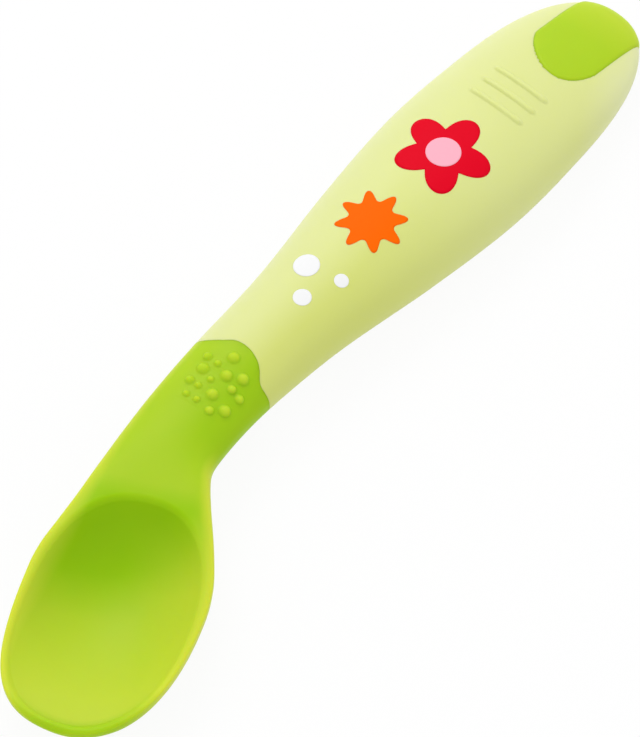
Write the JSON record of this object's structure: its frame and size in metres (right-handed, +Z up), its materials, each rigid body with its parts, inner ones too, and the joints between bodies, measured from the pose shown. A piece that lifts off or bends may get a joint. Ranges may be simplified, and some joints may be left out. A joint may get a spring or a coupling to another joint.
{
  "type": "baby spoon",
  "caption": "Weaning spoon with a soft oval bowl turned to one side, grip dots on the neck, a thick pale handle and a soft pad let into its end.",
  "frame": {"origin": "the middle of the flat foot under the bowl, on the table", "axes": "+X along the handle to its end, +Z up, the bowl turns towards -Y"},
  "size_m": [0.1506, 0.0408, 0.0141],
  "materials": {
    "core_plastic": "natural moulded polypropylene",
    "soft_lime": "satin silicone",
    "handle_pale": "satin, milky and translucent",
    "pad_lime": "satin silicone",
    "ink_red": "pad-printed ink",
    "ink_pink": "pad-printed ink",
    "ink_orange": "pad-printed ink",
    "ink_white": "pad-printed ink"
  },
  "bodies": {
    "root": {"core": "core_plastic", "soft_bowl": "soft_lime", "handle_grip": "handle_pale", "heel_pad": "pad_lime", "print_red": "ink_red", "print_pink": "ink_pink", "print_orange": "ink_orange", "print_white": "ink_white"}
  },
  "joints": []
}
